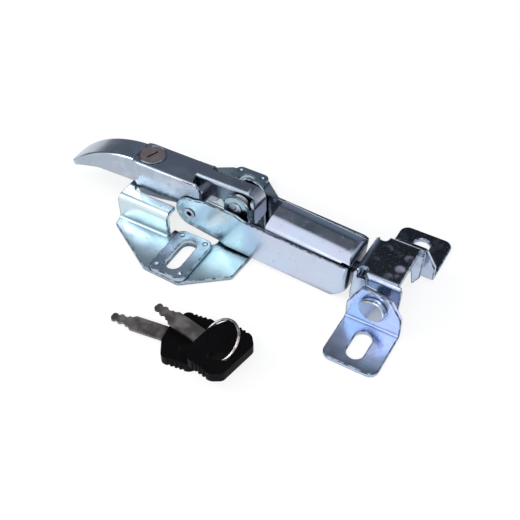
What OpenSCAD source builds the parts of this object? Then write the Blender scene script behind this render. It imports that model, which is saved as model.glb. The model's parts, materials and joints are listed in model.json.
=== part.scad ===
// Over-centre draw latch for a hood, with a lockable handle.
// X runs along the latch from the grip to the striker, Y to the back and Z up.
// Z = 0 is the mounting plane, and X = 0, Y = 0 lies midway between the slots of the base.

/* [Sheet metal] */
// Thickness of the base, pad, hook and striker sheet
plate_t = 3.2; // [2.8:0.1:3.6]
// Thickness of the handle, link and pivot bracket sheet
sheet_t = 2.3; // [2:0.1:2.5]
// Thickness of the spring cover sheet
cover_t = 1.2; // [0.8:0.1:1.6]

/* [Base plate] */
// Distance from the slots to the left end of the base
base_left = 58; // [55:1:64]
// Distance from the slots to the right end of the base
base_right = 39; // [37.5:0.5:44]
// Half of the base's greatest width
base_half_w = 58.3; // [57:0.5:64]
// Height of the hat section's top
hat_h = 21.7; // [20.5:0.1:21.8]
// Half width of the hat section
hat_half_w = 26; // [24:0.5:28]
// Distance from the slots to the hat's right end
hat_end = 18.3; // [16:0.5:20]
// Width of the strip that the lock cam catches
strip_w = 5.5; // [4:0.5:6]
// Half width of the opening in the hat
opening_half_w = 15.3; // [13.5:0.5:17]
// Half width of the gap between the pads
gap_half_w = 18.5; // [17.5:0.5:19.5]
// Distance from the slots to the gap's right end
gap_right = 13; // [11:0.5:13.5]

/* [Pads and slots] */
// Length of a pad along X
pad_l = 26.6; // [24:0.2:30]
// Width of a pad along Y
pad_w = 39.3; // [38:0.1:41]
// Width of a base slot
slot_w = 11; // [9:0.5:12]
// End to end length of a base slot
slot_l = 28; // [24:0.5:30]
// Radius of a weld dimple
dimple_r = 1.5; // [1:0.1:2]

/* [Main pivot] */
// Place of the main pivot along X
pivot_x = 25; // [24:0.5:26]
// Height of the main pivot
pivot_z = 35.4; // [34.6:0.1:35.8]
// Radius of the main pivot pin
pivot_r = 3.5; // [3:0.1:3.8]
// Radius of the bracket's ears
ear_r = 8.8; // [8:0.1:9]
// Outer face of the front ear, measured from the centre line
ear_front = 9.8; // [9.6:0.1:10]
// Clearance between parts that slide face to face
side_gap = 0.3; // [0.2:0.05:0.4]
// Radial clearance of a running pin
run_gap = 0.06; // [0.03:0.01:0.1]

/* [Handle] */
// Height of the handle's top
handle_top = 43.3; // [43:0.1:43.8]
// Half width of the wide part
wide_half_w = 12.1; // [11.7:0.1:12.4]
// Half width of the grip
grip_half_w = 10; // [9:0.5:11]
// Radius of the grip's curve
grip_r = 86; // [80:1:95]
// Distance from the slots to the grip's tip
grip_tip = 113.2; // [108:0.2:118]
// Distance from the slots to where the grip starts to curve
grip_start = 50; // [49:0.5:52]
// Front face of the tongue, measured from the centre line
tongue_front = 2; // [1.6:0.1:2.4]
// Rear face of the tongue, measured from the centre line
tongue_rear = 9.4; // [9.2:0.1:9.5]
// Distance from the main pivot to the tail's outer face
tail_reach = 12; // [11.5:0.1:13]

/* [Draw link] */
// Place of the link pin along X
link_pin_x = -7.5; // [-8:0.1:-7]
// Height of the link pin
link_pin_z = 20.2; // [20:0.1:20.6]
// Radius of the link pin
link_pin_r = 3; // [2.6:0.1:3.2]
// Angle by which the link slopes down to the right
link_tilt = 3.6; // [3:0.1:4]
// Length from the link pin to the end wall's outer face
link_l = 115.3; // [113:0.1:116]
// Height of the link's top edge above its pin line
link_up = 15.3; // [14.5:0.1:16]
// Depth of the link's bottom edge below its pin line
link_down = 13.2; // [12.6:0.1:13.4]
// Offset of the joggle that brings the ears in to the handle
joggle = 1.8; // [1.2:0.1:2.2]

/* [Spring cover] */
// Length of the spring cover
cover_l = 60; // [56:0.5:61]
// Height of the cover's crest above the link pin line, at the left end
cover_crest = 20.9; // [20:0.1:22]
// Angle by which the cover slopes against the link
cover_slope = 2.1; // [1.6:0.1:2.4]

/* [Draw bolt and spring] */
// Radius of the draw bolt
bolt_r = 4; // [3.5:0.1:4.3]
// Height of the bolt above the link pin line
bolt_up = 2.5; // [1.5:0.1:3]
// Wire diameter of the draw spring
spring_wire = 2.6; // [2:0.1:3]
// Mean radius of the draw spring
spring_r = 8.2; // [7.8:0.1:8.8]
// Free length of the bolt left of the locknut
bolt_tail = 3; // [1:0.5:4]
// Number of turns of the draw spring
spring_turns = 8.5; // [6.5:1:9.5]

/* [Hook] */
// Height of the hook's top
hook_top = 33.5; // [33:0.1:34]
// Half width of the hook
hook_half_w = 19.4; // [18.8:0.1:20]
// Half width of the hook's neck
neck_half_w = 16.5; // [16:0.1:17]
// Length of the hook's top plate
hook_l = 29.2; // [28.5:0.1:30]
// Gap between the link's end wall and the hook's wall, along the bolt
hook_gap = 3.4; // [3:0.1:4]

/* [Striker] */
// Distance from the hook's top left edge to the striker pin
strike_run = 19.7; // [19.2:0.1:20]
// Height of the striker pin
strike_z = 19.5; // [19.3:0.1:19.7]
// Radius of the striker pin
strike_r = 4; // [3.6:0.1:4.1]
// Radius of the striker pin's head
strike_head_r = 8.6; // [7.5:0.1:9]
// Outer face of the striker's risers, measured from the centre line
riser_y = 28.5; // [27.5:0.1:29.5]
// Outer edge of the striker's feet, measured from the centre line
foot_y = 62.8; // [60:0.2:66]
// Width of a striker foot along X
foot_w = 36; // [34:0.5:38]
// End to end length of a striker slot
foot_slot_l = 22; // [18:0.5:24]
// Height of the front riser
riser_h = 32.7; // [31.5:0.1:33]
// Height of the rear riser, which hides behind the hook
rear_riser_h = 24.8; // [24.4:0.1:26]
// Radius of the striker pin's riveted end
rivet_r = 2.8; // [2.4:0.1:3]

/* [Lock] */
// Distance from the slots to the lock's axis
lock_x = 44.8; // [44.4:0.1:45]
// Radius of the lock's rim
lock_r = 9.4; // [8.8:0.1:9.5]
// Reach of the cam from the lock's axis
cam_l = 12; // [11:0.1:12.2]

/* [Keys] */
// Length of a key blade outside its head
blade_l = 37.5; // [34:0.5:38]
// Half width of a key blade at its head
blade_half_w = 5.2; // [4.5:0.1:5.5]
// Length of a key head
head_l = 28.5; // [27:0.5:30]
// Half width of a key head
head_half_w = 18.4; // [17.5:0.1:19]
// Thickness of a key head
head_t = 7; // [6:0.5:7.5]

/* [Hidden] */
$fn = 48;
eps = 0.01;
far = 200;

slot_y = gap_half_w + pad_w / 2;
bend_r = 5;
hat_left = -base_left;
strip_x = hat_left + strip_w;

ear_rear = tongue_rear + side_gap + sheet_t;
link_in = wide_half_w + side_gap;
link_out = link_in + sheet_t;
strap_in = link_in + joggle;
strap_out = link_out + joggle;
joggle_lean = 22.9;
joggle_s = 28.3;
joggle_run = 6;

tail_x = pivot_x + tail_reach;
tail_r = 9;
tail_low = 22;
tongue_bottom = handle_top - 13.5;
torsion_wire = 1.3;
torsion_r = 6;
torsion_pitch = 1.4;
torsion_y = -tongue_front - side_gap - torsion_wire / 2;

bolt_head_t = 5.3;
nut_af = 13;
nut_t = 6.5;
thin_nut_t = 4;
washer_t = 2;
wall_u = link_l + hook_gap;
spring_u1 = link_l - sheet_t;
spring_u0 = spring_u1 - 39;
bolt_u0 = spring_u0 - washer_t - nut_t - thin_nut_t - bolt_tail;

hook_left = link_pin_x + wall_u * cos(link_tilt) + (hook_top - link_pin_z) * tan(link_tilt);
hook_right = hook_left + hook_l;
throat_gap = 0.4;
lip_lean = 9;
lip_right = hook_right + 2.4;
strike_x = hook_left + strike_run;

heads_gap = 3.2;
key_1_at = [52.6, -94.5, head_t * 1.5 + heads_gap];
key_1_turn = -10.4;
key_2_at = [28.2, -96.2, head_t / 2];
key_2_turn = 7.7;
blade_t = 2;
key_slot_at = [18, -5.7];
key_slot_turn = -59.4;
ring_r = 13.58;
ring_wire = 1.6;
ring_at = [63.97, -92.84, 16.09];
ring_turn = -135.6;
ring_lean = 36.8;

zinc = [0.72, 0.77, 0.86];
dark_zinc = [0.36, 0.38, 0.45];
steel = [0.6, 0.61, 0.64];
lock_face = [0.34, 0.3, 0.3];
black = [0.06, 0.06, 0.07];

// Rounding of an outline's corners

function unit(v) = v / norm(v);

function corner(p, q, s, r, n) =
    let (u = unit(p - q), v = unit(s - q))
    let (half = acos(u * v) / 2)
    let (c = q + unit(u + v) * r / sin(half))
    let (from = q + u * r / tan(half) - c, to = q + v * r / tan(half) - c)
    let (a = atan2(from.y, from.x), b = atan2(to.y, to.x))
    let (sweep = (b - a + 540) % 360 - 180)
    [for (i = [0:n]) c + r * [cos(a + sweep * i / n), sin(a + sweep * i / n)]];

// Each point is [x, y, radius]
function rounded(p, n = 6) =
    let (k = len(p), flat = [for (q = p) [q.x, q.y]])
    [for (i = [0:k - 1]) each p[i].z > 0
        ? corner(flat[(i + k - 1) % k], flat[i], flat[(i + 1) % k], p[i].z, n)
        : [flat[i]]];

function mirrored(half) = concat(half, [for (i = [len(half) - 1:-1:0]) [-half[i].x, half[i].y, half[i].z]]);

// Extrusions of a side view, a cross-section and a plan

module side(y0, y1) {
    translate([0, y1, 0]) rotate([90, 0, 0]) linear_extrude(y1 - y0) children();
}

module along(x0, x1) {
    translate([x0, 0, 0]) rotate([90, 0, 90]) linear_extrude(x1 - x0) children();
}

module plan(z0, z1) {
    translate([0, 0, z0]) linear_extrude(z1 - z0) children();
}

module both_sides() {
    children();
    mirror([0, 1, 0]) children();
}

module stadium(length, width) {
    square([width, length - width], center = true);
    for (s = [-1, 1]) translate([0, s * (length - width) / 2]) circle(d = width);
}

module cross_pin(x, z, r, y0, y1) {
    translate([x, y1, z]) rotate([90, 0, 0]) cylinder(r = r, h = y1 - y0);
}

module link_frame() {
    translate([link_pin_x, 0, link_pin_z]) rotate([0, link_tilt, 0]) children();
}

module on_bolt(u) {
    link_frame() translate([u, 0, bolt_up]) rotate([0, 90, 0]) children();
}

// A round wire swept along a path of points
function tangent(p, i) = unit(p[min(i + 1, len(p) - 1)] - p[max(i - 1, 0)]);

function ring_of(p, i, r, sides, up) =
    let (t = tangent(p, i), a = unit(cross(up, t)), b = cross(t, a))
    [for (k = [0:sides - 1]) p[i] + r * (cos(360 * k / sides) * a + sin(360 * k / sides) * b)];

module wire(p, r, up, sides = 8) {
    n = len(p);
    pts = [for (i = [0:n - 1]) each ring_of(p, i, r, sides, up)];
    walls = [for (i = [0:n - 2], k = [0:sides - 1])
        [i * sides + k, i * sides + (k + 1) % sides, (i + 1) * sides + (k + 1) % sides, (i + 1) * sides + k]];
    first = [for (k = [sides - 1:-1:0]) k];
    last = [for (k = [0:sides - 1]) (n - 1) * sides + k];
    polyhedron(points = pts, faces = concat([first], walls, [last]));
}

// Base plate: flat feet, and the hat section over the lock cam

module hat_section() {
    under = [
        [far, 0, 0],
        [hat_half_w - plate_t, 0, bend_r],
        [hat_half_w - plate_t, hat_h - plate_t, bend_r - plate_t]];
    over = [
        [-far, plate_t, 0],
        [-hat_half_w, plate_t, bend_r - plate_t],
        [-hat_half_w, hat_h, bend_r]];
    polygon(rounded(concat(mirrored(under), mirrored(over))));
}

module base_outline() {
    // The list reads [y, x], so that it can be mirrored and then turned
    half = [
        [hat_half_w - 0.7, -base_left, 0],
        [hat_half_w + 7.2, -base_left + 1.4, 3],
        [base_half_w - 1, -17, 6],
        [base_half_w, 10, 5],
        [36.4, base_right - 1.4, 4],
        [14.7, base_right, 4]];
    polygon([for (q = rounded(mirrored(half))) [q.y, q.x]]);
}

module flat_half() {
    difference() {
        translate([-hat_end, -far / 2]) square([far / 2, far]);
        polygon(rounded([
            [-far / 2, -gap_half_w, 0],
            [gap_right, -gap_half_w, 4],
            [gap_right, gap_half_w, 4],
            [-far / 2, gap_half_w, 0]]));
    }
}

module hat_opening() {
    polygon(rounded([
        [strip_x, -opening_half_w, 4],
        [far / 2 - hat_end, -opening_half_w, 0],
        [far / 2 - hat_end, opening_half_w, 0],
        [strip_x, opening_half_w, 4]]));
}

module base_slots() {
    both_sides() translate([0, slot_y, -1]) linear_extrude(plate_t * 2 + 2) stadium(slot_l, slot_w);
}

module base_plate() {
    color(zinc) difference() {
        intersection() {
            union() {
                along(hat_left, -hat_end + eps) hat_section();
                plan(0, plate_t) flat_half();
            }
            plan(-1, hat_h + 1) base_outline();
        }
        plan(plate_t * 2, hat_h + 1) hat_opening();
        base_slots();
    }
}

module pad() {
    corner_r = 5;
    inset = 4.4;
    difference() {
        plan(plate_t, plate_t * 2) polygon(rounded([
            [-pad_l / 2, gap_half_w, corner_r],
            [pad_l / 2, gap_half_w, corner_r],
            [pad_l / 2, gap_half_w + pad_w, corner_r],
            [-pad_l / 2, gap_half_w + pad_w, corner_r]]));
        base_slots();
        for (x = [-1, 1], y = [inset, pad_w - inset])
            translate([x * (pad_l / 2 - inset), gap_half_w + y, plate_t * 2 + dimple_r * 0.4])
                sphere(r = dimple_r);
    }
}

module front_pad() { color(zinc) mirror([0, 1, 0]) pad(); }

module rear_pad() { color(zinc) pad(); }

// Pivot bracket: a floor on the base plate and two round-topped ears

module ear_outline() {
    translate([pivot_x, pivot_z]) circle(r = ear_r);
    polygon([
        [pivot_x - ear_r - 2, plate_t],
        [pivot_x + ear_r + 2, plate_t],
        [pivot_x + ear_r, pivot_z],
        [pivot_x - ear_r, pivot_z]]);
}

module pivot_bracket() {
    color(zinc) difference() {
        intersection() {
            side(-ear_front, ear_rear) ear_outline();
            union() {
                along(-far, far) polygon(rounded([
                    [-ear_front, far, 0],
                    [-ear_front, plate_t, sheet_t + 1],
                    [ear_rear, plate_t, sheet_t + 1],
                    [ear_rear, far, 0],
                    [ear_rear - sheet_t, far, 0],
                    [ear_rear - sheet_t, plate_t + sheet_t, 1],
                    [-ear_front + sheet_t, plate_t + sheet_t, 1],
                    [-ear_front + sheet_t, far, 0]]));
            }
        }
        cross_pin(pivot_x, pivot_z, pivot_r, -far, far);
    }
}

module pivot_pin() {
    stake_t = 0.8;
    color(steel) difference() {
        union() {
            cross_pin(pivot_x, pivot_z, pivot_r, -ear_front - stake_t, ear_rear);
            cross_pin(pivot_x, pivot_z, pivot_r + 0.8, -ear_front - stake_t, -ear_front);
        }
        for (a = [0, 60, 120])
            translate([pivot_x, -ear_front - stake_t, pivot_z]) rotate([0, a, 0])
                cube([pivot_r * 1.2, 0.8, 0.7], center = true);
    }
}

module pivot_bush() {
    color(steel) difference() {
        cross_pin(pivot_x, pivot_z, torsion_r - torsion_wire / 2 - 0.4, sheet_t - ear_front, -tongue_front - side_gap);
        cross_pin(pivot_x, pivot_z, pivot_r + run_gap, -far, far);
    }
}

module torsion_spring() {
    turns = 2.75;
    hook_x = pivot_x - 14;
    steps = 66;
    leg_end = plate_t + sheet_t + 1;
    leg_z = tongue_bottom - torsion_wire / 2 - 0.15;
    end_y = torsion_y - torsion_pitch * turns;
    coil = [for (i = [0:steps])
        let (a = -90 + 360 * turns * i / steps)
        [pivot_x + torsion_r * cos(a), torsion_y - torsion_pitch * turns * i / steps, pivot_z + torsion_r * sin(a)]];
    path = concat(
        [[hook_x, -tongue_front + sheet_t, leg_z], [hook_x, torsion_y + 1, leg_z],
         [hook_x + 0.3, torsion_y + 0.3, leg_z], [hook_x + 1, torsion_y, leg_z]],
        coil,
        [[pivot_x - torsion_r, end_y, (pivot_z + leg_end) / 2], [pivot_x - torsion_r, end_y, leg_end]]);
    color(steel) wire(path, torsion_wire / 2, [0.08, 1, 0.05]);
}

// Handle: curved grip, wide part over the lock, narrow tongue and bent-down tail

module channel(half_w, top, depth, r) {
    difference() {
        polygon(rounded(mirrored([[half_w, top - depth, 0], [half_w, top, r]])));
        polygon(rounded(mirrored([
            [half_w - sheet_t, top - depth - 1, 0],
            [half_w - sheet_t, top - sheet_t, max(r - sheet_t, 0.3)]])));
    }
}

module grip_side() {
    polygon(rounded([
        [-grip_start + 1, handle_top + 5, 0],
        [-grip_start + 1, 24.4, 0],
        [-86, 23, 30],
        [-101, 18.8, 20],
        [-grip_tip, 14.2, 0],
        [-grip_tip - 4, 14.2, 0],
        [-grip_tip - 4, handle_top + 5, 0]]));
}

module grip_plan(inset) {
    tip = -grip_tip + inset;
    w = grip_half_w - inset;
    polygon(rounded([
        [-grip_start + 1, -w, 0],
        [-grip_start + 1, w, 0],
        [tip, w, w * 0.9],
        [tip, -w, w * 0.9]]));
}

module grip_sweep(section_r, w) {
    sweep = asin((grip_tip - grip_start) / grip_r) + 1;
    translate([-grip_start, 0, handle_top - grip_r]) rotate([90, 0, 0]) rotate([0, 0, 90])
        rotate_extrude(angle = sweep, $fn = 160)
            polygon(rounded([
                [section_r - 30, -w, 0],
                [section_r, -w, 2.3],
                [section_r, w, 2.3],
                [section_r - 30, w, 0]]));
}

module grip() {
    difference() {
        intersection() {
            union() {
                grip_sweep(grip_r, grip_half_w);
                along(-grip_start - eps, -grip_start + 1)
                    polygon(rounded(mirrored([[grip_half_w, 0, 0], [grip_half_w, handle_top, 2.3]])));
            }
            side(-far / 2, far / 2) grip_side();
            plan(0, handle_top + 1) grip_plan(0);
        }
        intersection() {
            union() {
                grip_sweep(grip_r - sheet_t, grip_half_w - sheet_t);
                along(-grip_start - 0.5, -grip_start + 2) polygon([
                    [sheet_t - grip_half_w, 0], [grip_half_w - sheet_t, 0],
                    [grip_half_w - sheet_t, handle_top - sheet_t], [sheet_t - grip_half_w, handle_top - sheet_t]]);
            }
            union() {
                plan(0, handle_top + 1) grip_plan(sheet_t);
                along(-grip_start, -grip_start + 2) square([far, far], center = true);
            }
        }
    }
}

function wide_side() = [
    [-grip_start - 4, handle_top + 1, 0],
    [-grip_start - 4, 24.4, 0],
    [-grip_start + 0.2, 17.8, 3],
    [-42, 17.8, 5],
    [-30, 24, 8],
    [link_pin_x - 11, 22, 6],
    [link_pin_x - 8, 12, 7],
    [link_pin_x + 7.5, 12, 7],
    [link_pin_x + 7, 34, 0],
    [link_pin_x + 7, handle_top, 8.5],
    [link_pin_x + 2, handle_top + 1, 0]];

step_x = link_pin_x + 1.5;

module wide_plan(inset) {
    w = wide_half_w - inset;
    polygon([
        [-grip_start - 4, -grip_half_w + inset],
        [-grip_start + 1, -w],
        [link_pin_x + 8 - inset, -w],
        [link_pin_x + 8 - inset, w],
        [-grip_start + 1, w],
        [-grip_start - 4, grip_half_w - inset]]);
}

module step_plan(inset) {
    w = wide_half_w - inset;
    polygon([
        [-grip_start - 5, -w],
        [step_x - inset, -w],
        [step_x - 4 - inset, -tongue_front + inset],
        [step_x - 4 - inset, tongue_rear - 3 - inset],
        [link_pin_x + 11.7 - inset, tongue_rear - 3 - inset],
        [link_pin_x + 5.5 - inset, w],
        [-grip_start - 5, w]]);
}

module wide_part() {
    intersection() {
        along(-grip_start - 4, link_pin_x + 9) channel(wide_half_w, handle_top, 40, 2.3);
        side(-far / 2, far / 2) polygon(rounded(wide_side()));
        plan(0, handle_top + 1) wide_plan(0);
        union() {
            plan(0, handle_top + 1) step_plan(0);
            side(-far / 2, sheet_t - wide_half_w) square([far, far], center = true);
        }
    }
    step_wall();
}

module step_wall() {
    intersection() {
        plan(tongue_bottom + 1, handle_top - 0.5) difference() {
            step_plan(0);
            step_plan(sheet_t);
            translate([-far - 14, -far / 2]) square([far, far]);
            translate([-20, -tongue_front + sheet_t]) square([40, tongue_rear + tongue_front - 2 * sheet_t]);
        }
        plan(0, handle_top + 1) translate([-14, -wide_half_w + 0.5]) square([40, 2 * wide_half_w - 1]);
    }
}

function tail_side() = [
    [-14, handle_top, 0],
    [tail_x, handle_top, tail_r],
    [tail_x, tail_low, 1],
    [tail_x - sheet_t, tail_low, 0],
    [tail_x - sheet_t - 1, tongue_bottom, 2],
    [-14, tongue_bottom, 0]];

module tongue() {
    front = -tongue_front;
    lip_front = -6.4;
    lip_top = handle_top - 4;
    difference() {
        union() {
            intersection() {
                along(-14, tail_x + 1) polygon(rounded([
                    [front, tail_low - 1, 0],
                    [front, handle_top, 2.3],
                    [tongue_rear, handle_top, 2.3],
                    [tongue_rear, tail_low, 2.5],
                    [tongue_rear - 6, tail_low, 0]]));
                union() {
                    side(-far / 2, far / 2) polygon(rounded(tail_side()));
                    cross_pin(pivot_x, pivot_z, 7.2, front, tongue_rear);
                }
            }
            intersection() {
                side(lip_front, tongue_rear) polygon(rounded([
                    [tail_x - 12, handle_top, 0],
                    [tail_x, handle_top, tail_r],
                    [tail_x, tail_low, 1],
                    [tail_x - sheet_t, tail_low, 0],
                    [tail_x - sheet_t, handle_top - sheet_t, tail_r - sheet_t],
                    [tail_x - 12, handle_top - sheet_t, 0]]));
                along(tail_x - 9, tail_x + 1) polygon(rounded([
                    [lip_front, tail_low, 5],
                    [lip_front, lip_top, 3],
                    [tongue_rear - 3, lip_top, 0],
                    [tongue_rear - 3, tail_low, 0]]));
            }
        }
        intersection() {
            side(front + sheet_t, tongue_rear - sheet_t) polygon(rounded([
                [-20, handle_top - sheet_t, 0],
                [tail_x - sheet_t, handle_top - sheet_t, tail_r - sheet_t],
                [tail_x - sheet_t, 0, 0],
                [-20, 0, 0]]));
            plan(0, far) translate([-20, -far / 2]) square([far, far]);
        }
    }
}

module handle() {
    color(dark_zinc) difference() {
        union() {
            grip();
            wide_part();
            tongue();
        }
        plan(0, handle_top - sheet_t) translate([-grip_start - 5, sheet_t - grip_half_w])
            square([8, 2 * (grip_half_w - sheet_t)]);
        at_lock(seat_top - 8) cylinder(r = barrel_body_r, h = 20);
        cross_pin(link_pin_x, link_pin_z, link_pin_r, -far, far);
        cross_pin(pivot_x, pivot_z, pivot_r + run_gap, -far, far);
    }
}

// Lock: barrel in the handle, plug, cam and screw

barrel_body_r = 8.2;
face_r = lock_r - 0.85;
face_t = 0.7;
plug_r = 6;
rim_t = 1;
rim_top = handle_top + rim_t;
seat_top = handle_top - sheet_t;
barrel_bottom = 22.3;
plug_bottom = 17;
cam_t = 2.5;
cam_top = plug_bottom;
key_slit = 1.2;

module at_lock(z) { translate([-lock_x, 0, z]) children(); }

module lock_barrel() {
    color(steel) difference() {
        union() {
            at_lock(barrel_bottom) cylinder(r = barrel_body_r, h = rim_top - barrel_bottom);
            at_lock(handle_top) cylinder(r = lock_r, h = rim_t);
        }
        at_lock(0) cylinder(r = plug_r + run_gap, h = far);
        at_lock(rim_top - face_t) cylinder(r = face_r + run_gap, h = far);
        at_lock(seat_top - 4.2) difference() {
            cylinder(r = barrel_body_r + 1, h = 1.1);
            cylinder(r = barrel_body_r - 0.8, h = 1.1);
        }
    }
}

module lock_seat() {
    color(zinc) at_lock(seat_top - 3) difference() {
        cylinder(r = lock_r - 0.8, h = 3);
        cylinder(r = barrel_body_r, h = far);
    }
}

module lock_clip() {
    color(steel) at_lock(seat_top - 4.1) difference() {
        cylinder(r = barrel_body_r + 0.5, h = 1);
        cylinder(r = barrel_body_r - 0.8, h = far, center = true);
        translate([0, -2.5, -1]) cube([far, 5, 3]);
    }
}

module lock_plug() {
    slit_l = 8.6;
    color(lock_face) difference() {
        union() {
            at_lock(plug_bottom) cylinder(r = plug_r, h = rim_top - plug_bottom - 0.15);
            at_lock(rim_top - face_t) cylinder(r = face_r, h = face_t - 0.15);
            at_lock(cam_top - cam_t) translate([0, 0, cam_t / 2]) cube([4.4, 4.4, cam_t + eps], center = true);
        }
        at_lock(rim_top - 9) rotate([0, 0, 70]) translate([0, 0, 6]) cube([slit_l, key_slit, 12], center = true);
        at_lock(cam_top - cam_t - 1) cylinder(r = 1.25, h = 8);
    }
}

module lock_cam() {
    hub_r = 4.6;
    color(zinc) difference() {
        at_lock(cam_top - cam_t) union() {
            cylinder(r = hub_r, h = cam_t);
            linear_extrude(cam_t) polygon(rounded([
                [-3.4, 0, 0], [3.4, 0, 0], [3.4, cam_l, 2], [-3.4, cam_l, 2]]));
        }
        at_lock(cam_top - cam_t / 2) cube([4.4, 4.4, cam_t + 1], center = true);
    }
}

module cam_screw() {
    head_r = 3.6;
    color(steel) difference() {
        union() {
            at_lock(cam_top - cam_t - 2) cylinder(r = head_r, h = 2);
            at_lock(cam_top - cam_t - 1) cylinder(r = 1.25, h = 7);
        }
        at_lock(cam_top - cam_t - 2) for (a = [0, 90]) rotate([0, 0, a]) cube([4.4, 0.8, 1.6], center = true);
    }
}

// Draw link with joggled ears, its pin and the spring cover

bend_in = joggle_s - joggle_run / 2;
bend_out = joggle_s + joggle_run / 2;

module link_side_outline() {
    ear_left = -10.8;
    ear_round = 11.3;
    polygon(rounded([
        [ear_left, 11.8, ear_round],
        [1.6, 11.9, 0],
        [12, link_up, 6],
        [link_l + 1, link_up, 0],
        [link_l + 1, -5, 0],
        [link_l, -5.8, 0],
        [link_l - 9, -link_down, 0],
        [20, -link_down, 0],
        [1.6, -11.4, 0],
        [ear_left, -11.3, ear_round]], 12));
}

// The joggle's bends lean, so its plan is extruded along that lean
module joggled(ear, strap) {
    rotate([0, joggle_lean, 0]) linear_extrude(far, center = true) polygon([
        [-60, -ear], [bend_in, -ear], [bend_out, -strap], [far, -strap],
        [far, strap], [bend_out, strap], [bend_in, ear], [-60, ear]]);
}

module round_end(end, half_w, r) {
    linear_extrude(far, center = true)
        polygon(rounded([[-50, -half_w, 0], [end, -half_w, r], [end, half_w, r], [-50, half_w, 0]]));
}

module draw_link() {
    relief = 4.5;
    color(zinc) difference() {
        link_frame() difference() {
            intersection() {
                joggled(link_out, strap_out);
                round_end(link_l, strap_out, bend_r);
                side(-far / 2, far / 2) link_side_outline();
            }
            intersection() {
                joggled(link_in, strap_in);
                round_end(link_l - sheet_t, strap_in, bend_r - sheet_t);
            }
        }
        cross_pin(link_pin_x, link_pin_z, link_pin_r + run_gap, -far, far);
        on_bolt(link_l - 2 * sheet_t) cylinder(r = bolt_r + 0.1, h = 3 * sheet_t);
        link_frame() both_sides() translate([link_l - relief, strap_out - relief, link_up - 5])
            cube([relief - sheet_t + 1, relief - sheet_t + 0.6, 10]);
    }
}

module link_pin() {
    bore_r = 1.9;
    flare = 0.9;
    head_y = link_out + 0.12;
    color(steel) difference() {
        union() {
            cross_pin(link_pin_x, link_pin_z, link_pin_r, -head_y - flare, head_y + flare);
            both_sides() cross_pin(link_pin_x, link_pin_z, link_pin_r + flare, head_y, head_y + flare);
        }
        cross_pin(link_pin_x, link_pin_z, bore_r, -far, far);
    }
}

function cover_half(inset) = [
    [strap_in - inset, 5 - inset, 0],
    [strap_in - inset, cover_crest - 2.8 - inset * 0.9, 4 - inset],
    [6 - inset * 0.3, cover_crest - inset, 14 - inset]];

module cover_solid(inset) {
    intersection() {
        along(-inset * 2, cover_l - inset) polygon(rounded(mirrored(cover_half(inset)), 8));
        side(-far / 2, far / 2) polygon(rounded([
            [-inset * 3, 0, 0],
            [cover_l - inset, 0, 0],
            [cover_l - inset, cover_crest - inset, 6 - inset],
            [-inset * 3, cover_crest - inset, 0]], 8));
        translate([cover_l / 2 - inset, 0, 0]) linear_extrude(far, center = true) square([cover_l, far], center = true);
    }
}

module spring_cover() {
    color(zinc) link_frame() translate([link_l - 0.7 - cover_l, 0, 0]) rotate([0, cover_slope, 0])
        difference() {
            cover_solid(0);
            cover_solid(cover_t);
            translate([cover_l - 6, -strap_in - 1, -1]) cube([8, 2 * strap_in + 2, link_up + 3.4]);
        }
}

// Draw bolt with its nuts, washer and spring

module hex(af, h) { cylinder(r = af / sqrt(3), h = h, $fn = 6); }

module draw_bolt() {
    color(steel) {
        on_bolt(bolt_u0) cylinder(r = bolt_r, h = wall_u + plate_t - bolt_u0 + 1);
        on_bolt(wall_u + plate_t) hex(nut_af, bolt_head_t);
    }
}

module bored(u) {
    difference() {
        on_bolt(u) children();
        on_bolt(bolt_u0 - 1) cylinder(r = bolt_r, h = far);
    }
}

module spring_washer() {
    color(zinc) bored(spring_u0 - washer_t) cylinder(r = spring_r + spring_wire / 2 + 0.5, h = washer_t);
}

module adjusting_nut() {
    color(steel) bored(spring_u0 - washer_t - nut_t) hex(nut_af, nut_t);
}

module locknut() {
    color(steel) bored(spring_u0 - washer_t - nut_t - thin_nut_t) hex(nut_af, thin_nut_t);
}

module draw_spring() {
    r = spring_wire / 2;
    length = spring_u1 - spring_u0 - spring_wire - 0.1;
    steps = 20 * spring_turns;
    color(steel) link_frame() translate([spring_u0 + r + 0.05, 0, bolt_up])
        wire([for (i = [0:steps])
            let (a = 360 * spring_turns * i / steps)
            [length * i / steps, spring_r * cos(a), spring_r * sin(a)]], r, [1, 0, 0]);
}

// Hook: an inverted box with a wall at the bolt and lips behind the striker pin

function wall_x(z) = hook_left - (hook_top - z) * tan(link_tilt);

module box_section(half_w) {
    r = plate_t + 0.6;
    difference() {
        polygon(rounded(mirrored([[half_w, -1, 0], [half_w, hook_top, r]])));
        polygon(rounded(mirrored([
            [half_w - plate_t, -2, 0],
            [half_w - plate_t, hook_top - plate_t, r - plate_t]])));
    }
}

module hook_plan() {
    polygon([
        [hook_left - 20, -neck_half_w], [hook_left + 7.5, -neck_half_w],
        [hook_left + 10.5, -hook_half_w], [hook_left + 40, -hook_half_w],
        [hook_left + 40, hook_half_w], [hook_left + 10.5, hook_half_w],
        [hook_left + 7.5, neck_half_w], [hook_left - 20, neck_half_w]]);
}

module hook_wall() {
    low = 4;
    r = 6.2;
    side(-neck_half_w + 1, neck_half_w - 1) polygon(rounded([
        [hook_left + 12, hook_top, 0],
        [hook_left, hook_top, r],
        [wall_x(low), low, 0],
        [wall_x(low) + plate_t, low, 0],
        [wall_x(hook_top - plate_t) + plate_t, hook_top - plate_t, r - plate_t],
        [hook_left + 12, hook_top - plate_t, 0]]));
}

module cheek_outline() {
    polygon(rounded([
        [hook_left + 12, hook_top, 0],
        [hook_left, hook_top, 6.2],
        [wall_x(9), 9, 0],
        [wall_x(9) + 5, 9, 3],
        [hook_left + 12, strike_z + strike_r + 2, 0]]));
}

function lip_x(z) = strike_x + strike_r + throat_gap + (strike_z - z) * tan(lip_lean);

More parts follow.
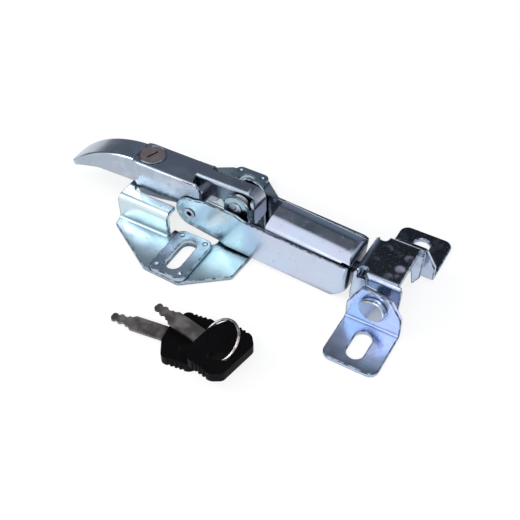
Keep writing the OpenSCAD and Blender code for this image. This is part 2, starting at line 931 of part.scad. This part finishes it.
module lip_outline() {
    throat_r = strike_r + throat_gap;
    polygon(concat(
        [[hook_left + 7, hook_top], [lip_right - 0.6, hook_top], [lip_right + 0.6, 28],
         [lip_right, 9.4], [lip_x(2.2) + 0.8, 2.2], [lip_x(2.6), 2.6]],
        [for (a = [0:9:90]) [strike_x + throat_r * cos(a), strike_z + throat_r * sin(a)]],
        [[hook_left + 7, strike_z + strike_r + 2]]));
}

module hook() {
    relief_r = 3;
    color(dark_zinc) difference() {
        union() {
            intersection() {
                along(hook_left - 20, hook_left + 9) box_section(neck_half_w);
                side(-far / 2, far / 2) cheek_outline();
            }
            hook_wall();
            intersection() {
                along(hook_left + 7, lip_right + 2) box_section(hook_half_w);
                side(-far / 2, far / 2) lip_outline();
                plan(0, hook_top + 1) hook_plan();
            }
        }
        translate([hook_right, plate_t - hook_half_w - 1, hook_top - plate_t - 1])
            cube([10, 2 * (hook_half_w - plate_t + 1), 10]);
        both_sides() translate([hook_left + 5.6, neck_half_w - 0.6, hook_top - 8]) cylinder(r = relief_r, h = 20);
        on_bolt(wall_u - 2) cylinder(r = bolt_r + 0.2, h = plate_t + 4);
    }
}

// Striker: two angle brackets, and a pin between their risers

module front_riser() {
    left = strike_x - foot_w / 2 + 0.3;
    right = left + foot_w;
    polygon(rounded([
        [left, -1, 0],
        [left, 15, 4],
        [left + 9, riser_h, 4],
        [left + 27.6, riser_h - 3, 4],
        [right - 0.4, 17, 5],
        [right, 10, 0],
        [right, -1, 0]]));
}

module rear_riser() {
    left = strike_x - foot_w / 2 + 0.3;
    right = left + foot_w;
    polygon(rounded([
        [left, -1, 0],
        [left, 13, 4],
        [left + 9, rear_riser_h, 4],
        [right - 7.6, rear_riser_h, 3],
        [right, 12.6, 3],
        [right, -1, 0]]));
}

// The bracket on the far side, with its riser's outline as the child
module striker_half(hole_r) {
    left = strike_x - foot_w / 2 + 0.3;
    outer_r = plate_t + 1;
    difference() {
        intersection() {
            along(left, left + foot_w) polygon(rounded([
                [foot_y, 0, 0],
                [riser_y - plate_t, 0, outer_r],
                [riser_y - plate_t, riser_h + 1, 0],
                [riser_y, riser_h + 1, 0],
                [riser_y, plate_t, outer_r - plate_t],
                [foot_y, plate_t, 0]]));
            side(0, far) children();
            plan(-1, far) polygon(rounded([
                [left, 0, 0],
                [left + foot_w, 0, 0],
                [left + foot_w, foot_y, 6],
                [left, foot_y, 6]]));
        }
        cross_pin(strike_x, strike_z, hole_r, 0, far);
        translate([strike_x + 0.3, (foot_y + riser_y) / 2, -1]) linear_extrude(plate_t + 2)
            stadium(foot_slot_l, slot_w);
    }
}

module striker_front() { color(zinc) mirror([0, 1, 0]) striker_half(strike_r) front_riser(); }

module striker_rear() { color(zinc) striker_half(rivet_r) rear_riser(); }

module striker_pin() {
    head_t = 4.2;
    chamfer = 1;
    color(zinc) {
        cross_pin(strike_x, strike_z, strike_r, -riser_y, riser_y - plate_t);
        cross_pin(strike_x, strike_z, rivet_r, 0, riser_y);
        cross_pin(strike_x, strike_z, strike_head_r, -riser_y - head_t + chamfer, -riser_y);
        translate([strike_x, -riser_y - head_t + chamfer, strike_z]) rotate([90, 0, 0])
            cylinder(r1 = strike_head_r, r2 = strike_head_r - chamfer * 1.3, h = chamfer);
        translate([strike_x, riser_y, strike_z]) rotate([-90, 0, 0])
            cylinder(r1 = rivet_r + 1.2, r2 = rivet_r, h = 1.2);
    }
}

// Keys with black heads, and the ring that holds them

module key_place(at, turn) { translate(at) rotate([0, 0, turn]) children(); }

module blade() {
    low = blade_half_w * 0.46;
    edge = [
        [-blade_l, low * 0.5, 0.6], [-blade_l + 1, low + 0.3, 0.6], [-blade_l + 3, low + 0.3, 0.6],
        [-blade_l + 4.2, low - 0.7, 0.6], [-blade_l + 5.4, low + 0.7, 0.6], [-blade_l + 7, low + 0.9, 0.6],
        [-blade_l + 8.4, low - 0.1, 0.6], [-blade_l + 9.8, low + 0.1, 0.6], [-blade_l + 11, low + 1.3, 0.6],
        [-blade_l + 12.6, low + 1, 0.6], [-blade_l + 14.6, blade_half_w, 0.8], [2, blade_half_w, 0]];
    difference() {
        plan(-blade_t / 2, blade_t / 2)
            polygon(rounded(concat(edge, [for (i = [len(edge) - 1:-1:0]) [edge[i].x, -edge[i].y, edge[i].z]]), 3));
        for (s = [-1, 1]) translate([-blade_l, s * 0.5, s * blade_t / 2]) cube([22, 1, 0.7], center = true);
    }
}

module key_head() {
    groove_r = 0.9;
    difference() {
        union() {
            plan(-head_t / 2, head_t / 2) polygon(rounded([
                [0, -7, 6], [5, -head_half_w, 4], [head_l * 0.8, -head_half_w, 6], [head_l, -head_half_w + 5, 4],
                [head_l, head_half_w - 5, 4], [head_l * 0.8, head_half_w, 6], [5, head_half_w, 4], [0, 7, 6]]));
        }
        translate([0, 0, -blade_t / 2]) linear_extrude(blade_t) translate([-1, -blade_half_w])
            square([3, 2 * blade_half_w]);
        for (s = [-1, 1], i = [0:3]) translate([10 + 3 * i, s * (head_half_w + 0.1), -far / 2])
            cylinder(r = groove_r, h = far, $fn = 16);
        translate([key_slot_at.x, key_slot_at.y, -far / 2]) linear_extrude(far)
            rotate([0, 0, key_slot_turn]) stadium(14, 5);
        for (s = [-1, 1]) translate([9, 5, s * head_t / 2]) difference() {
            cylinder(r = 7, h = 0.8, center = true);
            cylinder(r = 6, h = 2, center = true);
        }
    }
}

module key_1_blade() { color(steel) key_place(key_1_at, key_1_turn) blade(); }

module key_1_head() { color(black) key_place(key_1_at, key_1_turn) key_head(); }

module key_2_blade() { color(steel) key_place(key_2_at, key_2_turn) blade(); }

module key_2_head() { color(black) key_place(key_2_at, key_2_turn) key_head(); }

module key_ring() {
    color(steel) translate(ring_at) rotate([0, 0, ring_turn]) rotate([0, ring_lean, 0])
        rotate_extrude() translate([ring_r, 0]) circle(d = ring_wire, $fn = 16);
}

base_plate();
front_pad();
rear_pad();
pivot_bracket();
pivot_pin();
pivot_bush();
torsion_spring();
handle();
lock_seat();
lock_barrel();
lock_clip();
lock_plug();
lock_cam();
cam_screw();
link_pin();
draw_link();
spring_cover();
draw_spring();
draw_bolt();
spring_washer();
adjusting_nut();
locknut();
hook();
striker_front();
striker_rear();
striker_pin();
key_1_blade();
key_1_head();
key_2_blade();
key_2_head();
key_ring();
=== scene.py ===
"""Looks of a hood draw latch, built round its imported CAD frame."""

import json
import math

import bpy
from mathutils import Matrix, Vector
from mathutils.bvhtree import BVHTree


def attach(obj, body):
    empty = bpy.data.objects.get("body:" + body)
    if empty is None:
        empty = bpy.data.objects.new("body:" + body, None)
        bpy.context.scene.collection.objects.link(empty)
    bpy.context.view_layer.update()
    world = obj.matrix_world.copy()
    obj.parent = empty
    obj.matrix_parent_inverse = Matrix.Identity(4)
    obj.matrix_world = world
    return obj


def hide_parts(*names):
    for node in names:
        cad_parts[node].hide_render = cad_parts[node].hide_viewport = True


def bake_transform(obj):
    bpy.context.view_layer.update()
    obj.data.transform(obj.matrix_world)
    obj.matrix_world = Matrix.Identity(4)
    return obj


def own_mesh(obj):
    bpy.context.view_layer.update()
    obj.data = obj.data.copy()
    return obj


MM = 0.001
X, Y, Z = 0, 1, 2
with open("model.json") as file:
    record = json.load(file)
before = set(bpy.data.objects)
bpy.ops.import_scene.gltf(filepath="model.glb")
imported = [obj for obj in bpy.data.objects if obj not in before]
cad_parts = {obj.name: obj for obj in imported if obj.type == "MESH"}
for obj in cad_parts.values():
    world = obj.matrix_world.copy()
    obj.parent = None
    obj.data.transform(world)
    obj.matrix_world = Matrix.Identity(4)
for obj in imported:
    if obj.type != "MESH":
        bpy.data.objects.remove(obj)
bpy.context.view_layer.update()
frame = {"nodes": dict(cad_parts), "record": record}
behaviour = frame["record"]["behaviour"]
node_body = {node: body for body, nodes in behaviour["bodies"].items() for node in nodes}
node_slot = {part["node"]: part["material_slot"] for part in frame["record"]["subparts"]}


# Shader maths written as expressions


class Value:
    """A number that changes over a surface, with Python's own arithmetic."""

    def __init__(self, recipe, socket):
        self.recipe = recipe
        self.socket = socket

    def _math(self, operation, first, second):
        node = self.recipe.add("ShaderNodeMath", {"operation": operation}, {0: first, 1: second})
        return Value(self.recipe, node.outputs[0])

    def __add__(self, other):
        return self._math("ADD", self, other)

    __radd__ = __add__

    def __sub__(self, other):
        return self._math("SUBTRACT", self, other)

    def __rsub__(self, other):
        return self._math("SUBTRACT", other, self)

    def __mul__(self, other):
        return self._math("MULTIPLY", self, other)

    __rmul__ = __mul__

    def __pow__(self, other):
        return self._math("POWER", self, other)

    def at_least(self, other):
        return self._math("MAXIMUM", self, other)

    def step(self, low, high):
        """0 below low, 1 above high, and smooth between them."""
        node = self.recipe.add(
            "ShaderNodeMapRange",
            {"interpolation_type": "SMOOTHSTEP"},
            {"Value": self, "From Min": low, "From Max": high},
        )
        return Value(self.recipe, node.outputs["Result"])


class Recipe:
    """One material: its nodes, the place on the piece that they read, and its shader."""

    def __init__(self, name, metallic, specular=0.5):
        self.material = bpy.data.materials.new(name)
        self.material.use_nodes = True
        self.tree = self.material.node_tree
        self.shader = self.tree.nodes["Principled BSDF"]
        self.shader.inputs["Metallic"].default_value = metallic
        self.shader.inputs["Specular IOR Level"].default_value = specular
        self.place = self.add("ShaderNodeTexCoord").outputs["Object"]

    def add(self, kind, settings=None, values=None):
        """A node of that kind, its settings first and then its sockets' values or links."""
        node = self.tree.nodes.new(kind)
        for name, setting in (settings or {}).items():
            setattr(node, name, setting)
        for key, value in (values or {}).items():
            self.feed(node.inputs[key], value)
        return node

    def feed(self, socket, value):
        if isinstance(value, Value):
            value = value.socket
        if isinstance(value, bpy.types.NodeSocket):
            self.tree.links.new(value, socket)
        elif isinstance(value, tuple) and socket.type == "RGBA":
            socket.default_value = (*value, 1)
        else:
            socket.default_value = value

    def noise(self, scale, detail, distortion=0.0, place=None):
        """Cloudy noise around 0.5, with about as many clouds to the metre as its scale."""
        values = {"Vector": place or self.place, "Scale": scale, "Detail": detail}
        values["Distortion"] = distortion
        return Value(self, self.add("ShaderNodeTexNoise", None, values).outputs["Fac"])

    def streaks(self, scales, detail):
        """Noise with a scale for each axis, drawn out where the scale is small."""
        node = self.add("ShaderNodeMapping", None, {"Vector": self.place, "Scale": scales})
        return self.noise(1, detail, place=node.outputs[0])

    def spots(self, scale):
        """Distance to the nearest of many scattered points."""
        node = self.add("ShaderNodeTexVoronoi", None, {"Vector": self.place, "Scale": scale})
        return Value(self, node.outputs["Distance"])

    def facing(self, axis):
        """How far the surface faces along one axis of the piece, from -1 to 1."""
        normal = self.add("ShaderNodeTexCoord").outputs["Normal"]
        return Value(self, self.add("ShaderNodeSeparateXYZ", None, {0: normal}).outputs[axis])

    def along(self, axis):
        """The place along one axis of the piece, in metres."""
        return Value(self, self.add("ShaderNodeSeparateXYZ", None, {0: self.place}).outputs[axis])

    def blend(self, share, first, second):
        """The first colour where the share is 0, and the second where it is 1."""
        values = {"Factor": share, 6: first, 7: second}
        return self.add("ShaderNodeMix", {"data_type": "RGBA"}, values).outputs[2]

    def hidden(self, distance):
        """The share of the open air round a place that its neighbours take away."""
        node = self.add("ShaderNodeAmbientOcclusion", {"samples": 12}, {"Distance": distance})
        return 1 - Value(self, node.outputs["AO"])

    def bump(self, height, distance, strength):
        values = {"Height": height, "Distance": distance, "Strength": strength}
        return self.add("ShaderNodeBump", None, values).outputs["Normal"]

    def finish(self, colour, roughness, normal=None):
        self.feed(self.shader.inputs["Base Color"], colour)
        self.feed(self.shader.inputs["Roughness"], roughness)
        if normal:
            self.feed(self.shader.inputs["Normal"], normal)
        return self.material


# Finishes


def blue_zinc(name, lilac, cyan, reach=8, painted_toe_shade=0.0, ear=None, welds=()):
    """Bright zinc plate, with drifts of two tints, stains, rolling marks and painted shade in its
    corners.

    reach is how far the painted shade in a corner runs out, in millimetres. The rest is for single
    pieces:
    painted_toe_shade paints shade on the up-facing faces of the striker foot's front end, ear tints
    the link's ears, and welds are the x and z of their weld dents, in millimetres.
    """
    pale = (0.68, 0.73, 0.82)
    stain_grey = (0.22, 0.25, 0.33)
    toe_shade_grey = (0.1, 0.115, 0.16)
    corner_shade_teal = (0.02, 0.065, 0.1)
    zinc = Recipe(name, metallic=1.0)
    cloud = zinc.noise(70, 3, distortion=0.6)
    tint = zinc.blend(zinc.noise(26, 2).step(0.38, 0.62), lilac, cyan)
    tint = zinc.blend(cloud.step(0.52, 0.7) * 0.2, tint, pale)
    # Painted shade: the up-facing faces of the striker foot's front end go dark grey
    if painted_toe_shade:
        toe_start, toe_end, drift = 56 * MM, 70 * MM, 12 * MM
        toe = (cloud * drift - zinc.along(Y)).step(toe_start, toe_end)
        tint = zinc.blend(toe * zinc.facing(Z).step(0.6, 0.9) * painted_toe_shade, tint, toe_shade_grey)
    stain = zinc.noise(240, 4).step(0.6, 0.74) * 0.3
    tint = zinc.blend(stain, tint, stain_grey)
    if ear:
        ear_end, arm_start, drift = 34 * MM, 42 * MM, 8 * MM
        arm = (zinc.along(X) + cloud * drift).step(ear_end, arm_start)
        tint = zinc.blend(1 - arm, tint, ear)
    # Painted shade: corners and the faces between parts go dark teal
    tint = zinc.blend(zinc.hidden(reach * MM).step(0.12, 0.65) * 0.9, tint, corner_shade_teal)
    rolled = zinc.streaks((260, 2600, 2600), 2)
    swell = zinc.noise(42, 1)
    height = swell * 0.6 + (rolled * 0.3 + zinc.noise(1900, 2)) * 0.03
    for x, z in welds:
        dent_floor, dent_rim = 0.5 * MM, 1.5 * MM
        across, up = zinc.along(X) - x * MM, zinc.along(Z) - z * MM
        radius = (across * across + up * up) ** 0.5
        height = height - (1 - radius.step(dent_floor, dent_rim)) * 0.35
    rough = 0.15 + cloud * 0.1 + stain * 0.3 + rolled * 0.05
    return zinc.finish(tint, rough, zinc.bump(height, MM, 0.9))


def cut_edge():
    """Rolled and sheared edges, darker and duller than the faces of the plate."""
    dark, bright = (0.05, 0.07, 0.1), (0.3, 0.34, 0.42)
    edge = Recipe("cut_edge", metallic=1.0)
    cloud = edge.noise(300, 3)
    grain = edge.noise(1500, 2)
    tint = edge.blend(cloud.step(0.4, 0.6), dark, bright)
    return edge.finish(tint, 0.3 + cloud * 0.15, edge.bump(grain, 0.04 * MM, 0.8))


def dark_zinc(name, blotches):
    """Zinc plate with painted shade on its up-facing faces, towards the grip end and in its corners,
    lilac blotches, and pale pits with painted glints.
    """
    top_painted_shade, blotch_lilac = (0.1, 0.115, 0.145), (0.55, 0.55, 0.7)
    side_lilac, side_cyan = (0.46, 0.52, 0.68), (0.52, 0.62, 0.76)
    grip_end_painted_shade, corner_shade_blue = (0.1, 0.13, 0.17), (0.02, 0.04, 0.07)
    pit_glint_pale = (0.6, 0.61, 0.68)
    zinc = Recipe(name, metallic=1.0)
    cloud = zinc.noise(85, 3, distortion=0.8)
    fine = zinc.noise(420, 3)
    side = zinc.blend(cloud.step(0.42, 0.62), side_lilac, side_cyan)
    marks = (1 - zinc.spots(120).step(0.22, 0.5)) * zinc.noise(45, 2).step(0.42, 0.54) * blotches
    top = zinc.blend(marks, top_painted_shade, blotch_lilac)
    # Painted shade: faces turned up take the dark top colour, standing in for a dark reflection
    tint = zinc.blend(zinc.facing(Z).step(0.9, 0.99), side, top)
    # Painted shade on the faces turned towards the grip end
    tint = zinc.blend((0 - zinc.facing(X)).step(0.25, 0.6) * 0.8, tint, grip_end_painted_shade)
    # Painted shade in corners and between parts
    tint = zinc.blend(zinc.hidden(6 * MM).step(0.1, 0.7) * 0.7, tint, corner_shade_blue)
    # Pits in the plate: real in the bump and roughness, with painted glints in their pale colour
    pits_and_glints = (1 - zinc.spots(1300).step(0.12, 0.3)) * fine.step(0.46, 0.6)
    tint = zinc.blend(pits_and_glints * 0.45, tint, pit_glint_pale)
    rough = 0.2 + cloud * 0.1 + marks * 0.4 + pits_and_glints * 0.3
    return zinc.finish(tint, rough, zinc.bump(fine + pits_and_glints, 0.03 * MM, 0.6))


def turned_steel():
    """Plated steel of pins, nuts and springs, with painted shade in its corners."""
    dull, bright, corner_shade_dark = (0.4, 0.42, 0.5), (0.66, 0.68, 0.76), (0.02, 0.03, 0.05)
    steel = Recipe("turned_steel", metallic=1.0)
    cloud = steel.noise(130, 3)
    tint = steel.blend(cloud.step(0.4, 0.65), dull, bright)
    # Painted shade in corners and between parts
    tint = steel.blend(steel.hidden(5 * MM).step(0.08, 0.6) * 0.9, tint, corner_shade_dark)
    marks = steel.streaks((3000, 500, 3000), 2)
    return steel.finish(tint, 0.24 + cloud * 0.16, steel.bump(marks, 0.02 * MM, 0.6))


def lock_metal():
    """Dull brown-grey die casting of the lock, paler on its face than down its sides."""
    side_grey, face_brown, cloud_brown = (0.1, 0.1, 0.11), (0.32, 0.26, 0.26), (0.44, 0.37, 0.38)
    casting = Recipe("lock_metal", metallic=1.0)
    cloud = casting.noise(160, 4, distortion=0.5)
    grain = casting.noise(1800, 2)
    tint = casting.blend(casting.facing(Z).step(0.9, 0.98), side_grey, face_brown)
    tint = casting.blend(cloud.step(0.45, 0.7) * 0.4, tint, cloud_brown)
    return casting.finish(tint, 0.34 + cloud * 0.2, casting.bump(grain, 0.03 * MM, 0.6))


def key_steel():
    """Nickel-plated key blade, gone dull."""
    dark, bright = (0.12, 0.105, 0.1), (0.27, 0.245, 0.235)
    blade = Recipe("key_steel", metallic=1.0)
    cloud = blade.noise(110, 3)
    scratches = blade.streaks((500, 3200, 3200), 3)
    tint = blade.blend(cloud.step(0.38, 0.66), dark, bright)
    return blade.finish(tint, 0.32 + cloud * 0.18, blade.bump(scratches, 0.02 * MM, 0.7))


def ring_steel():
    """Nickel-plated spring steel of the key ring, worn warm and dark."""
    dark, bright = (0.2, 0.17, 0.16), (0.62, 0.56, 0.55)
    wire = Recipe("ring_steel", metallic=1.0)
    cloud = wire.noise(210, 3)
    grain = wire.noise(1700, 2)
    tint = wire.blend(cloud.step(0.4, 0.62), dark, bright)
    return wire.finish(tint, 0.2 + cloud * 0.15, wire.bump(grain, 0.02 * MM, 0.6))


def key_plastic():
    """Satin black moulded plastic with a fine spark-eroded grain."""
    black, grey = (0.0015, 0.0015, 0.002), (0.004, 0.004, 0.0045)
    plastic = Recipe("key_plastic", metallic=0.0, specular=0.03)
    cloud = plastic.noise(90, 2)
    grain = plastic.noise(2600, 2)
    tint = plastic.blend(cloud, black, grey)
    return plastic.finish(tint, 0.36 + cloud * 0.15, plastic.bump(grain, 0.02 * MM, 0.4))


ZINC = blue_zinc("blue_zinc", (0.55, 0.58, 0.72), (0.52, 0.62, 0.76))
BASE_ZINC = blue_zinc("base_zinc", (0.57, 0.69, 0.74), (0.56, 0.71, 0.75), reach=12)
PAD_ZINC = blue_zinc("pad_zinc", (0.4, 0.5, 0.58), (0.43, 0.55, 0.62), reach=5)
LINK_ZINC = blue_zinc(
    "link_zinc",
    (0.56, 0.58, 0.72),
    (0.53, 0.61, 0.75),
    ear=(0.62, 0.76, 0.84),
    welds=((-15.5, 17.5), (-3.4, 10.6), (9.6, 10.2)),
)
STRIKER_ZINC = blue_zinc(
    "striker_zinc", (0.6, 0.68, 0.95), (0.52, 0.68, 0.95), reach=5, painted_toe_shade=0.8
)
HANDLE_ZINC = blue_zinc("handle_zinc", (0.42, 0.44, 0.52), (0.38, 0.44, 0.52))
# Zinc with painted shade on its up-facing faces, for the hook and the striker's rear foot
PAINTED_DARK_TOP = dark_zinc("dark_zinc", blotches=0.75)
PAINTED_DARK_TOP_FOOT = dark_zinc("painted_dark_top_foot", blotches=0.08)
EDGE = cut_edge()
RING = ring_steel()
SLOT_FINISH = {
    "zinc_plate": ZINC,
    "dark_plate": PAINTED_DARK_TOP,
    "steel": turned_steel(),
    "lock_metal": lock_metal(),
    "key_steel": key_steel(),
    "key_plastic": key_plastic(),
}


# Pieces

SAME_CORNER = 0.03 * MM  # corners this close together become one
ONE_PLANE = math.radians(0.6)  # faces this level with each other become one
SHARP_EDGE = math.radians(40)  # edges that turn further than this are rounded
THROWN_OFF = 0.6  # share of a round's width past which a corner is laid back


def only(obj):
    """Selects one object and makes it active."""
    bpy.ops.object.select_all(action="DESELECT")
    obj.select_set(True)
    bpy.context.view_layer.objects.active = obj


def apply_modifiers(obj):
    only(obj)
    for modifier in list(obj.modifiers):
        bpy.ops.object.modifier_apply(modifier=modifier.name)


def surface(piece):
    """The piece's faces as they are now, to measure distances from."""
    corners = [vertex.co.copy() for vertex in piece.data.vertices]
    return BVHTree.FromPolygons(corners, [tuple(face.vertices) for face in piece.data.polygons])


def draw_in(piece, sheet, reach):
    """Lays corners that a wide bevel threw off the sheet or below the mounting plane back on it."""
    for vertex in piece.data.vertices:
        place, _, _, distance = sheet.find_nearest(vertex.co)
        if distance > reach or vertex.co.z < 0:
            vertex.co = place


def join_facets(piece):
    """Merges the CAD's loose triangles and joins those that lie in one plane."""
    only(piece)
    bpy.ops.object.mode_set(mode="EDIT")
    bpy.ops.mesh.select_all(action="SELECT")
    bpy.ops.mesh.remove_doubles(threshold=SAME_CORNER)
    bpy.ops.mesh.dissolve_limited(angle_limit=ONE_PLANE)
    bpy.ops.object.mode_set(mode="OBJECT")


def round_edges(piece, width, segments, edge_finish):
    """Rounds the sharp edges, which then show the edge finish if there is one."""
    sheet = surface(piece)
    bevel = piece.modifiers.new("edge", "BEVEL")
    bevel.width = width
    bevel.segments = segments
    bevel.limit_method = "ANGLE"
    bevel.angle_limit = SHARP_EDGE
    bevel.miter_outer = "MITER_ARC"
    bevel.use_clamp_overlap = not edge_finish
    if edge_finish:
        piece.data.materials.append(edge_finish)
        bevel.material = 1
    apply_modifiers(piece)
    draw_in(piece, sheet, THROWN_OFF * width)


def shade(piece, smooth):
    """Shades edges flatter than the smooth angle as curves, and keeps wide faces flat."""
    only(piece)
    bpy.ops.object.shade_smooth_by_angle(angle=math.radians(smooth))
    flats = piece.modifiers.new("flats", "WEIGHTED_NORMAL")
    flats.keep_sharp = True
    apply_modifiers(piece)


def softened(
    node, finish=None, edge=0, segments=2, smooth=35, edge_finish=None, shape=None, rides=True
):
    """A copy of a CAD node with rounded edges, as on pressed or moulded parts, in its place.

    edge is the width of the round in millimetres, and shape changes the mesh before it.
    """
    piece = bpy.data.objects.new(node + "_soft", frame["nodes"][node].data.copy())
    piece.data.materials.clear()
    piece.data.materials.append(finish or SLOT_FINISH[node_slot[node]])
    bpy.context.scene.collection.objects.link(piece)
    join_facets(piece)
    if shape:
        shape(piece)
    if edge:
        round_edges(piece, edge * MM, segments, edge_finish)
    shade(piece, smooth)
    if rides:
        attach(piece, node_body[node])
    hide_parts(node)
    return piece


def deepen_flange(piece):
    """Brings the lower edges of the handle's flanges down into the opening of the hat section."""
    opening_start, opening_end = -44, -18.6
    flange_side, flange_top = 9, 24.5
    lowest, rise_start, rise = 18.2, -38, 0.2
    for vertex in piece.data.vertices:
        x, y, z = vertex.co / MM
        if opening_start < x < opening_end and abs(y) > flange_side and z < flange_top:
            vertex.co.z = min(z, lowest + max(0, x - rise_start) * rise) * MM


softened("base_plate", BASE_ZINC, edge=0.7, segments=3, edge_finish=EDGE)
for name in ("front_pad", "rear_pad"):
    softened(name, PAD_ZINC, edge=0.7, segments=3, edge_finish=EDGE)
softened("striker_front", STRIKER_ZINC, edge=0.8, segments=3, edge_finish=EDGE)
softened("striker_rear", PAINTED_DARK_TOP_FOOT, edge=0.8, segments=3, edge_finish=EDGE)
softened("draw_link", LINK_ZINC, edge=0.5, edge_finish=EDGE)
softened("spring_cover", edge=0.5, edge_finish=EDGE)
softened("pivot_bracket", BASE_ZINC, edge=0.5, edge_finish=EDGE)
softened("handle", HANDLE_ZINC, edge=0.45, edge_finish=EDGE, shape=deepen_flange)
softened("hook", edge=0.7, segments=3, edge_finish=EDGE)
# Painted shade: the striker pin takes the handle's darker zinc, to stand darker than the riser
# behind it
softened("striker_pin", HANDLE_ZINC, edge=0.5, edge_finish=EDGE)
for name in ("pivot_pin", "link_pin", "adjusting_nut", "locknut", "draw_bolt"):
    softened(name, edge=0.3)
softened("lock_barrel", edge=0.3, edge_finish=EDGE)
for name in ("lock_plug", "lock_cam", "cam_screw", "spring_washer"):
    softened(name, edge=0.15, edge_finish=EDGE)

# The draw spring is pressed against the link's end wall as the hook is pulled out; here it rides its
# body on a mesh of its own
draw_spring = softened("draw_spring", smooth=70)
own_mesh(draw_spring)

# One leg of the torsion spring stays on the base plate, and the other follows the handle; here the
# whole spring rides no body and keeps its place
torsion_spring = softened("torsion_spring", smooth=70, rides=False)
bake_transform(torsion_spring)

softened("key_ring", RING, smooth=70)
for name in ("key_1_head", "key_2_head"):
    softened(name, edge=0.8, segments=3)
for name in ("key_1_blade", "key_2_blade"):
    softened(name, edge=0.15)

# The CAD nodes that stay in sight show the finish of their slot
for name, node in frame["nodes"].items():
    node.data.materials.clear()
    node.data.materials.append(SLOT_FINISH[node_slot[name]])


# Studio


def studio_floor():
    """A sheet of pale paper, evenly bright to the camera and in mirrors, that keeps shadows."""
    pale, own_light = (0.93, 0.93, 0.93), 0.76
    bpy.ops.object.select_all(action="DESELECT")
    bpy.ops.mesh.primitive_plane_add(size=12, location=(0, 0, -0.1 * MM))
    floor = bpy.context.object
    floor.name = "floor"
    paper = Recipe("floor_paper", metallic=0.0, specular=0.2)
    paper.finish(pale, 0.9)
    rays = paper.add("ShaderNodeLightPath").outputs
    seen = Value(paper, rays["Is Camera Ray"]).at_least(Value(paper, rays["Is Glossy Ray"]))
    glow = paper.add("ShaderNodeEmission", None, {"Color": (1.0, 1.0, 1.0)})
    shaders = {0: seen * own_light, 1: paper.shader.outputs[0], 2: glow.outputs[0]}
    both = paper.add("ShaderNodeMixShader", None, shaders)
    paper.feed(paper.tree.nodes["Material Output"].inputs["Surface"], both.outputs[0])
    floor.data.materials.append(paper.material)


class Sky(Recipe):
    """The world's recipe, where a place is a direction."""

    def __init__(self, name):
        world = bpy.data.worlds.new(name)
        world.use_nodes = True
        bpy.context.scene.world = world
        self.tree = world.node_tree
        self.place = self.add("ShaderNodeTexCoord").outputs["Generated"]

    def towards(self, direction):
        """1 straight towards the direction, 0 square to it and -1 away from it."""
        values = {0: self.place, 1: Vector(direction).normalized()}
        node = self.add("ShaderNodeVectorMath", {"operation": "DOT_PRODUCT"}, values)
        return Value(self, node.outputs["Value"])


def studio_sky():
    """A white tent with a grey card behind the latch and a black spot high on it, to be mirrored."""
    white, grey, black = (1.15, 1.17, 1.2), (0.16, 0.185, 0.225), (0.012, 0.017, 0.025)
    behind, high_up = (-0.45, 0.89, 0), (-0.14, 0.67, 0.73)
    sky = Sky("tent")
    card = sky.towards(behind).step(0.0, 0.42) * (1 - sky.along(Z).step(0.76, 0.93))
    spot = sky.towards(high_up).step(0.95, 0.997)
    tone = sky.blend(card, white, sky.blend(spot, grey, black))
    sky.feed(sky.tree.nodes["Background"].inputs["Color"], tone)


def softbox(name, at, aim, size, power):
    data = bpy.data.lights.new(name, "AREA")
    data.shape = "RECTANGLE"
    data.size, data.size_y = size
    data.energy = power
    lamp = bpy.data.objects.new(name, data)
    bpy.context.scene.collection.objects.link(lamp)
    lamp.location = at
    lamp.rotation_euler = (Vector(aim) - Vector(at)).to_track_quat("-Z", "Y").to_euler()


def camera():
    """The photograph's viewing angle: it looks down on the latch from the striker's side."""
    aim = Vector((44.26, -11.95, 0)) * MM
    azimuth, elevation, distance = math.radians(29.89), math.radians(46.35), 562.1 * MM
    back = Vector((
        math.sin(azimuth) * math.cos(elevation),
        -math.cos(azimuth) * math.cos(elevation),
        math.sin(elevation),
    ))
    data = bpy.data.cameras.new("camera")
    data.sensor_width = 36
    data.lens = 59.3
    eye = bpy.data.objects.new("camera", data)
    bpy.context.scene.collection.objects.link(eye)
    eye.location = aim + back * distance
    eye.rotation_euler = (-back).to_track_quat("-Z", "Y").to_euler()
    bpy.context.scene.camera = eye


studio_floor()
studio_sky()
softbox("left_box", at=(-0.9, -0.5, 0.9), aim=(0, 0, 0), size=(0.5, 0.5), power=6)
softbox("front_box", at=(0.4, -1.0, 0.8), aim=(0.05, 0, 0), size=(0.8, 0.3), power=6)
camera()
bpy.context.scene.view_settings.view_transform = "Standard"
